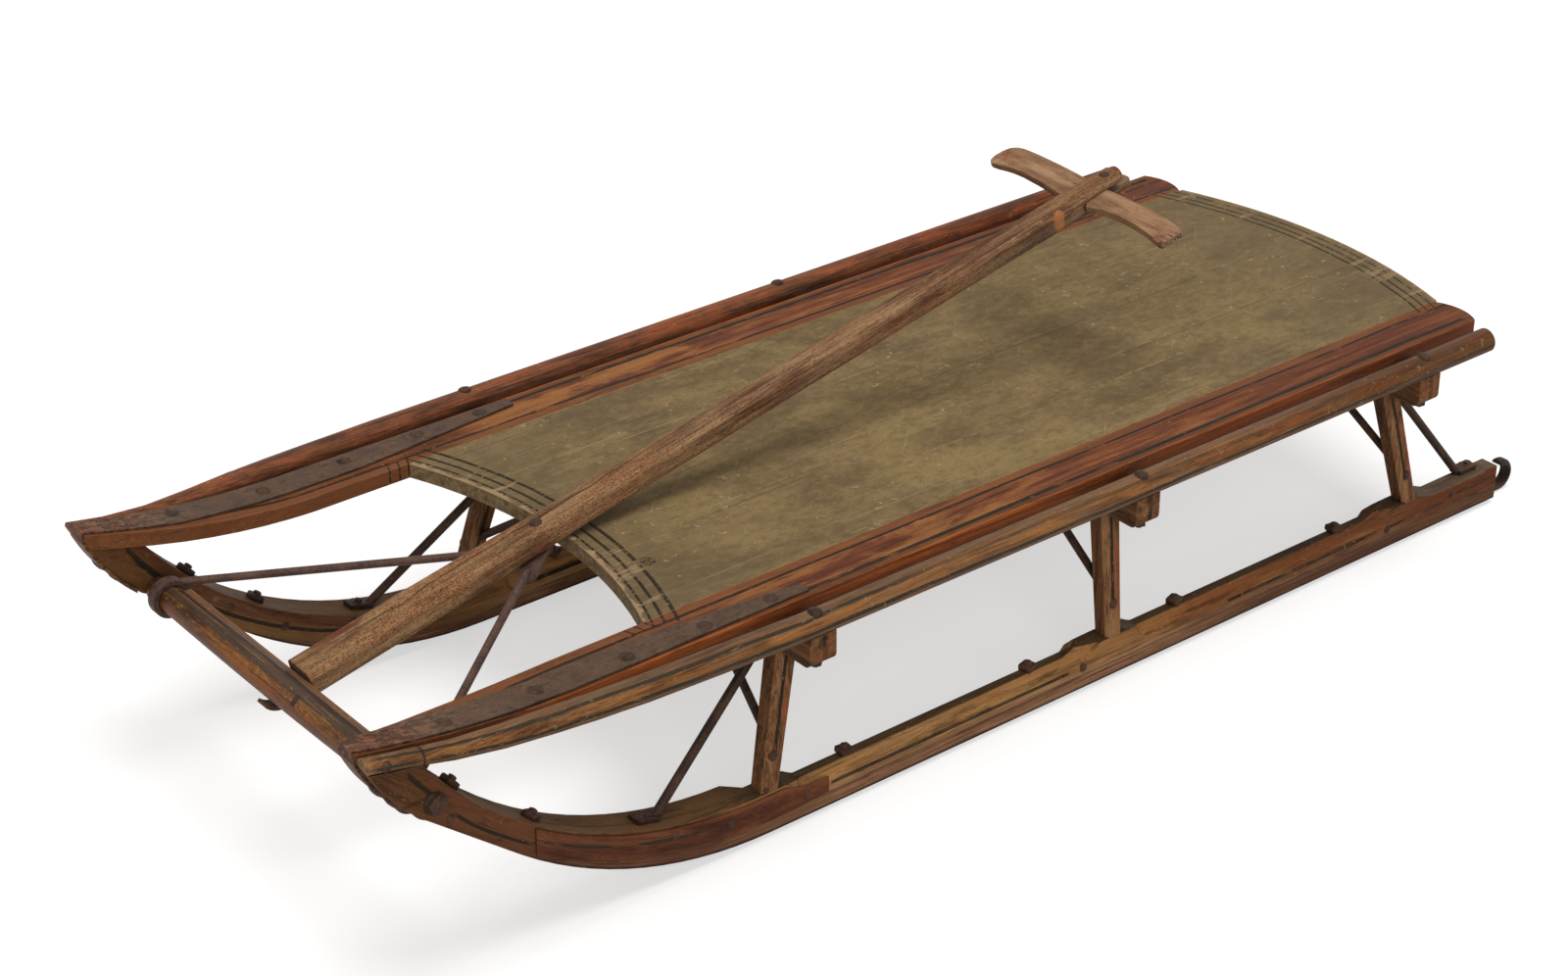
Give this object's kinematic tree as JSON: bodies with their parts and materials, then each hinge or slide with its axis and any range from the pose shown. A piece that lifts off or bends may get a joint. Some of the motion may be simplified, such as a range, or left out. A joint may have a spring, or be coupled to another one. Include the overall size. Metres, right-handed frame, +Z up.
{
  "type": "coaster sled",
  "caption": "Old wooden coasting sled with upturned iron-shod runners, a painted deck, side handrails and a hinged pulling tongue with a cross grip.",
  "frame": {"origin": "on the floor at the middle of the sled's length and width", "axes": "+X to the sled's rear, +Z up, +Y to the sled's right as seen by a rider who looks forward"},
  "size_m": [1.2704, 0.5004, 0.3593],
  "materials": {
    "deck_paint": "satin",
    "frame_wood": "satin",
    "crossbar_varnish": "satin",
    "runner_wood": "satin",
    "sole_wood": "satin",
    "side_board_paint": "satin",
    "rail_varnish": "satin",
    "tongue_wood": "matte",
    "grip_wood": "matte",
    "plate_paint": "satin",
    "strap_iron": "matte",
    "iron": "matte"
  },
  "bodies": {
    "sled": {"beam_front": "frame_wood", "beam_middle": "frame_wood", "beam_rear": "frame_wood", "brace_front_left": "iron", "brace_front_right": "iron", "brace_rear_left": "iron", "brace_rear_right": "iron", "crossbar": "crossbar_varnish", "deck": "deck_paint", "handrail_left": "rail_varnish", "handrail_right": "rail_varnish", "knee_front_left": "iron", "knee_front_right": "iron", "knee_middle_left": "iron", "knee_middle_right": "iron", "knee_rear_left": "iron", "knee_rear_right": "iron", "post_front_left": "frame_wood", "post_front_right": "frame_wood", "post_middle_left": "frame_wood", "post_middle_right": "frame_wood", "post_rear_left": "frame_wood", "post_rear_right": "frame_wood", "runner_left": "runner_wood", "runner_right": "runner_wood", "shoe_left": "iron", "shoe_right": "iron", "side_board_left": "side_board_paint", "side_board_right": "side_board_paint", "side_plate_left": "plate_paint", "side_plate_right": "plate_paint", "sole_left": "sole_wood", "sole_right": "sole_wood", "strap_left": "strap_iron", "strap_right": "strap_iron"},
    "tongue": {"tongue_pole": "tongue_wood", "grip": "grip_wood", "yoke_left": "iron", "yoke_right": "iron", "hook": "iron"}
  },
  "joints": [
    {"name": "tongue_hinge", "type": "hinge", "parent": "sled", "child": "tongue", "pos_m": [-0.57479, 0, 0.153], "axis": [0, -1, 0], "range_deg": [0, 175]}
  ]
}
